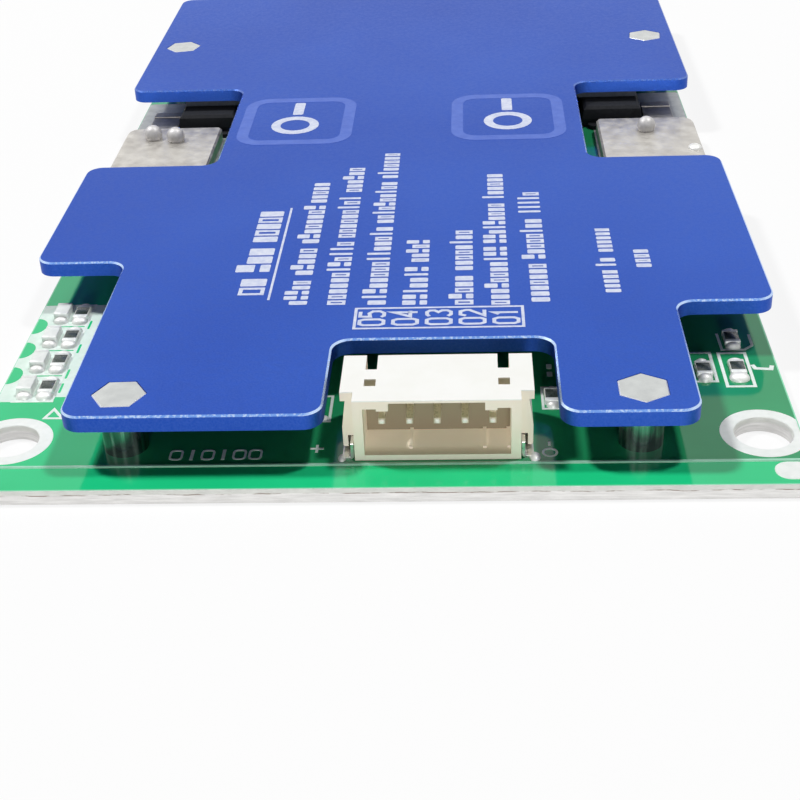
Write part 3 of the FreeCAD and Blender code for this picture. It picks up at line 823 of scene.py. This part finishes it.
def make_joints():
    """Solder on the chips' ends, at the header's tabs and on the right terminal."""
    forms = Forms()
    base, rough, seed = DECK + 0.03, 0.03, 1
    for name in RESISTORS + CAPACITORS:
        low, high = span(name)
        x, y = (low.x + high.x) / 2, (low.y + high.y) / 2
        wide, reach, tall, behind = next(
            (SOLDER[key] for key in SOLDER if name.startswith(key)), OTHER_SOLDER)
        across, height = (high.x - low.x) / 2 * wide, (high.z - DECK) * tall
        for hand, share in ((-1, 1.0), (1, behind)):
            size = share ** 0.3
            forms.dome(x, y + hand * ((high.y - low.y) / 2 + reach * 0.35), base,
                       (across * size, reach * share), height * size, seed, rough)
            seed += 1
    forms.dome(-4.5, FRONT + 9.15, base, (0.3, 0.32), 0.22, seed, rough)
    forms.dome(11.2, FRONT + 3.6, base, (0.42, 0.6), 0.3, seed + 1, rough)
    forms.dome(-2.75, FRONT + 3.7, base, (0.3, 0.5), 0.24, seed + 2, rough)
    forms.dome(29.85, FRONT + 58.1, DECK + 1.46, (0.72, 0.8), 0.42, 61, 0.05)
    forms.piece("solder_joints", [FINISH["solder"]], "solder", smooth=75)


# The plate's print
# Lines of each numeral, one unit wide and two units tall
DIGITS = {
    "0": [[(0.2, 0.0), (0.8, 0.0), (1.0, 0.35), (1.0, 1.65), (0.8, 2.0), (0.2, 2.0),
           (0.0, 1.65), (0.0, 0.35)]],
    "1": [[(0.2, 1.6), (0.5, 2.0), (0.5, 0.0)]],
    "2": [[(0.0, 1.55), (0.2, 2.0), (0.8, 2.0), (1.0, 1.55), (1.0, 1.25), (0.0, 0.0),
           (1.0, 0.0)]],
    "3": [[(0.0, 1.8), (0.3, 2.0), (0.75, 2.0), (1.0, 1.75), (1.0, 1.35), (0.7, 1.05),
           (1.0, 0.75), (1.0, 0.3), (0.75, 0.0), (0.25, 0.0), (0.0, 0.25)]],
    "4": [[(0.75, 0.0), (0.75, 0.52)], [(0.75, 0.68), (0.75, 2.0), (0.0, 0.6), (1.0, 0.6)]],
    "5": [[(0.95, 2.0), (0.1, 2.0), (0.05, 1.15), (0.65, 1.25), (1.0, 0.95), (1.0, 0.35),
           (0.7, 0.0), (0.2, 0.0), (0.0, 0.25)]],
}
# Rows of marks along Y: place across, height of a mark, and where each group starts and ends, from
# the front edge
ROWS = (
    (-11.6, 2.9, ((20.9, 23.8), (25.1, 29.6), (30.9, 37.3))),
    (-7.45, 2.0, ((19.1, 23.3), (24.4, 29.4), (30.5, 38.4), (39.1, 43.6))),
    (-4.35, 2.0, ((19.0, 30.6), (31.5, 40.3), (41.4, 47.1))),
    (-1.1, 2.0, ((18.9, 33.5), (34.4, 43.5), (44.5, 50.6))),
    (2.2, 2.0, ((18.8, 25.5), (26.5, 30.7))),
    (5.9, 2.0, ((18.7, 23.7), (24.8, 32.5))),
    (8.8, 2.0, ((18.6, 29.1), (29.9, 38.1), (39.2, 44.9))),
    (12.0, 2.0, ((19.0, 25.7), (26.7, 34.6), (35.9, 40.5))),
    (17.9, 1.7, ((20.4, 24.3), (25.0, 26.6), (27.8, 32.4))),
    (20.8, 1.7, ((24.8, 28.1),)),
)
MARK_KINDS = ("block", "block", "block", "open", "open", "open", "split", "bar")
MARK_GAP = 0.25
PRINT_TOP = ROOF + 0.014
# Rise of a stroke that crosses another, so that their tops don't meet
CROSSING = 0.003


def add_mark(forms, kind, base, tall, start, end, pen):
    """One plain mark of a row: a block, an open rectangle, a split block or a tall bar, on base."""
    body = base - tall * 0.74
    if kind == "open":
        line = rectangle(body + pen / 2, base - pen / 2, start + pen / 2, end - pen / 2)
        forms.stroke(line, pen, ROOF, PRINT_TOP, True)
        return
    if kind == "split":
        blocks = ((base - tall * 0.3, base, start, end, 0.08),
                  (base - tall, base - tall * 0.46, start, end, 0.08))
    elif kind == "bar":
        middle = (start + end) / 2
        blocks = ((base - tall, base, middle - pen * 0.7, middle + pen * 0.7, 0.08),)
    else:
        blocks = ((body, base, start, end, 0.1),)
    for block in blocks:
        forms.slab(rectangle(*block, 1), ROOF, PRINT_TOP)


def add_rows(forms):
    """Rows of plain marks, and one thin line beside the tallest row."""
    draw = random.Random(7)
    for x, tall, groups in ROWS:
        pen = 0.34 if tall > 2.5 else 0.28
        for start, end in groups:
            count = max(1, round((end - start + MARK_GAP) / (tall * 0.48)))
            pitch = (end - start + MARK_GAP) / count
            for k in range(count):
                near = FRONT + start + k * pitch
                add_mark(forms, draw.choice(MARK_KINDS), x + tall / 2, tall, near,
                         near + (pitch - MARK_GAP), pen)
    forms.stroke(front_line((-9.66, 20.0), (-9.57, 38.0)), 0.2, ROOF, PRINT_TOP)


def add_numbers(forms):
    """Box in front of the rows with one number for each of the header's pins."""
    x0, x1, y0, y1 = -2.4, 10.76, FRONT + 15.0, FRONT + 18.3
    forms.stroke(rectangle(x0, x1, y0, y1), 0.24, ROOF, PRINT_TOP, True)
    cell = (x1 - x0) / 5
    for k in range(5):
        middle = x0 + (k + 0.5) * cell
        for place, digit in enumerate("0" + str(5 - k)):
            for part, line in enumerate(DIGITS[digit]):
                line = [(middle + (1.0 - v) * 0.94, y0 + 0.52 + place * 1.33 + u * 0.93)
                        for u, v in line]
                forms.stroke(line, 0.3, ROOF, PRINT_TOP + CROSSING * part, digit == "0")


def make_print():
    """Generic marks on the plate: rows of plain marks, the pins' numbers and two plain labels."""
    ink, label = Forms(), Forms()
    add_rows(ink)
    add_numbers(ink)
    # Labels in front of the terminals, each with a ring and a bar
    for corners in ((-16.5, -5.9, 54.2, 66.3), (5.45, 15.9, 54.3, 66.1)):
        label.stroke(front_box(*corners, 2.0, 6), 1.2, ROOF, PRINT_TOP, True)
    for x in (-11.35, 10.65):
        ink.stroke(circle(x, FRONT + 58.9, 2.0, 28), 0.95, ROOF, PRINT_TOP, True)
        ink.slab(front_box(x - 0.55, x + 0.55, 61.9, 65.4, 0.2), ROOF, PRINT_TOP + CROSSING)
    ink.piece("plate_print", [FINISH["print"]], "plate")
    label.piece("plate_labels", [FINISH["label"]], "plate")


make_camera()
make_lamp("left_key", (-0.84, 0.30, 1.30), 0.19, 0.63)
make_lamp("right_key", (0.62, 0.26, 1.60), 0.19, 0.42)
make_lamp("front_low", (0.05, -1.60, 0.16), 0.3, 0.34)
make_world(ambient=0.05, seen=1.0)
make_floor(edge=3.0, glow_share=0.85)
FINISH = finishes()
for slot, names in SLOT_NODES.items():
    for name in names:
        dress(name, FINISH[slot], ROUNDING.get(slot, 0.0))
make_copper()
make_pads()
make_silkscreen()
for name in RESISTORS + CAPACITORS:
    make_chip(name, name in RESISTORS)
make_joints()
make_print()
